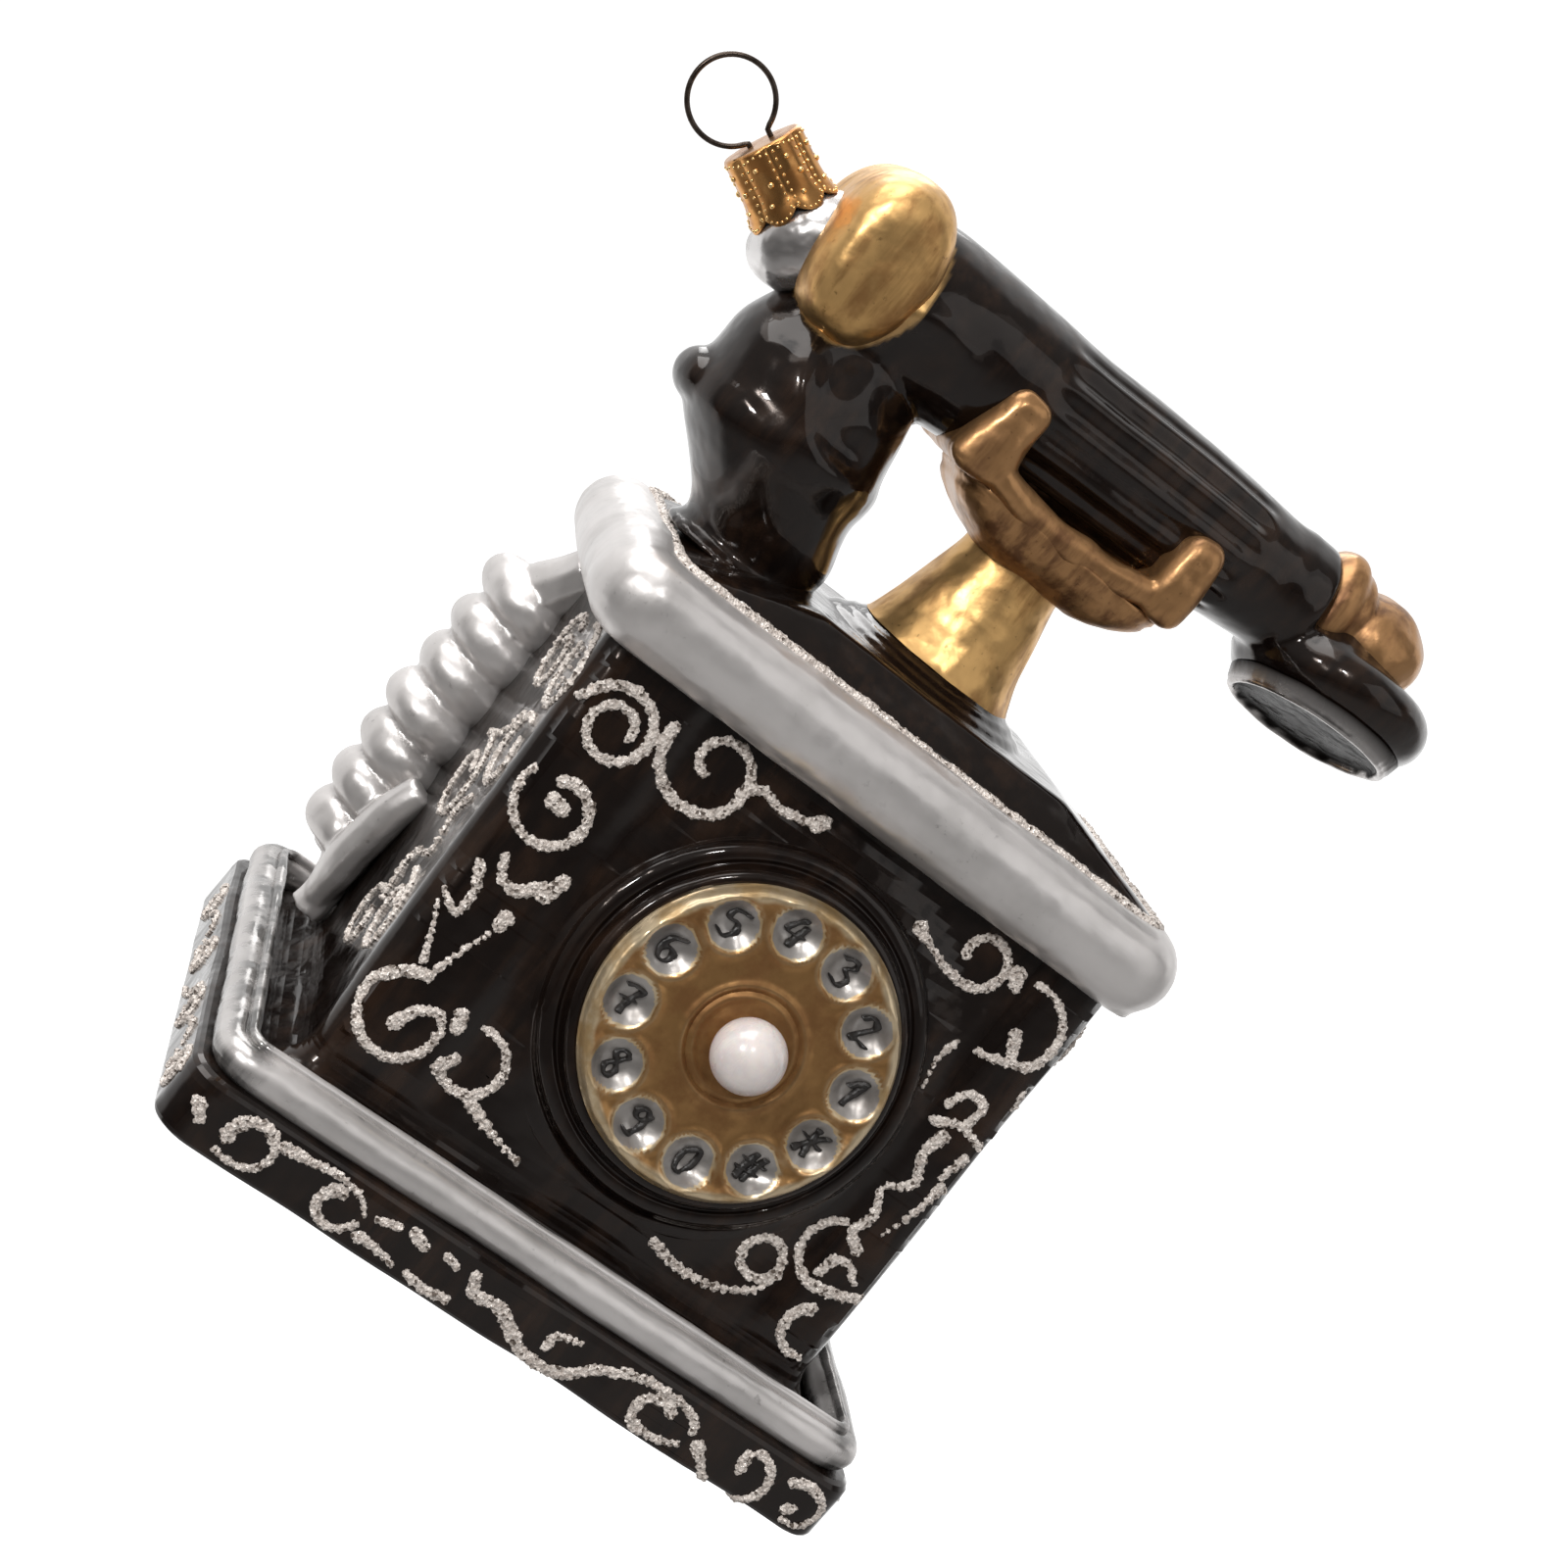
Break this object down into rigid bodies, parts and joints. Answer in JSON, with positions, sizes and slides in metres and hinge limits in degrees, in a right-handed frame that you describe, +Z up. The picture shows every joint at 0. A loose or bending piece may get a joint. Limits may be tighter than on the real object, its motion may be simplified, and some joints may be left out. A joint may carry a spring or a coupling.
{
  "type": "hanging cradle telephone ornament",
  "caption": "Blown-glass ornament shaped as a cradle telephone with dial, handset and scroll trim, hanging by a wire ring in a crimped metal cap that pulls off.",
  "frame": {"origin": "where a hook carries the wire ring: the top of the ring's eye, in the middle of its wire", "axes": "+Z up along the hook's pull as the ornament hangs still, +X to the right of the dial side, +Y from the dial side to the back"},
  "size_m": [0.1373, 0.0673, 0.1518],
  "materials": {
    "black_lacquer": "silvered glass under glossy black-brown lacquer",
    "satin_silver": "silvered glass under satin silver lacquer",
    "bright_gold": "silvered glass under bright gold lacquer",
    "dial_gold": "silvered glass under brownish gold lacquer, silver dimples, painted figures",
    "bronze_gold": "silvered glass under satin bronze-gold lacquer",
    "bare_mirror": "bare silvered glass",
    "pearl": "pearl lustre",
    "glitter": "granular glitter",
    "cap_metal": "embossed, copper gold",
    "wire": "dark drawn spring wire"
  },
  "bodies": {
    "ring": {"hanger_wire": "wire"},
    "cap": {"metal_cap": "cap_metal"},
    "glass": {"plinth": "black_lacquer", "plinth_bead": "satin_silver", "plinth_cove": "black_lacquer", "housing": "black_lacquer", "dial_mount": "black_lacquer", "dial_plate": "dial_gold", "pearl": "pearl", "top_bead": "satin_silver", "lid": "black_lacquer", "lid_glitter": "glitter", "cradle_stem": "bright_gold", "cradle_saddle": "bronze_gold", "cradle_fork": "bronze_gold", "handset_grip": "black_lacquer", "receiver_cap": "bright_gold", "receiver_horn": "black_lacquer", "receiver_foot": "black_lacquer", "mouth_neck": "black_lacquer", "mouth_cup": "black_lacquer", "mouth_lip": "black_lacquer", "mouth_cap": "bronze_gold", "glass_neck": "bare_mirror", "curly_cord": "satin_silver", "cord_tail": "satin_silver"}
  },
  "joints": [
    {"name": "cap_swing", "type": "hinge", "parent": "ring", "child": "cap", "pos_m": [0.00305, 0, -0.00857], "axis": [0.8949, 0, 0.4462], "range_deg": [-12, 12]},
    {"name": "cap_pull", "type": "slide", "parent": "cap", "child": "glass", "axis": [0.4462, 0, -0.8949], "range_m": [0, 0.014]}
  ]
}
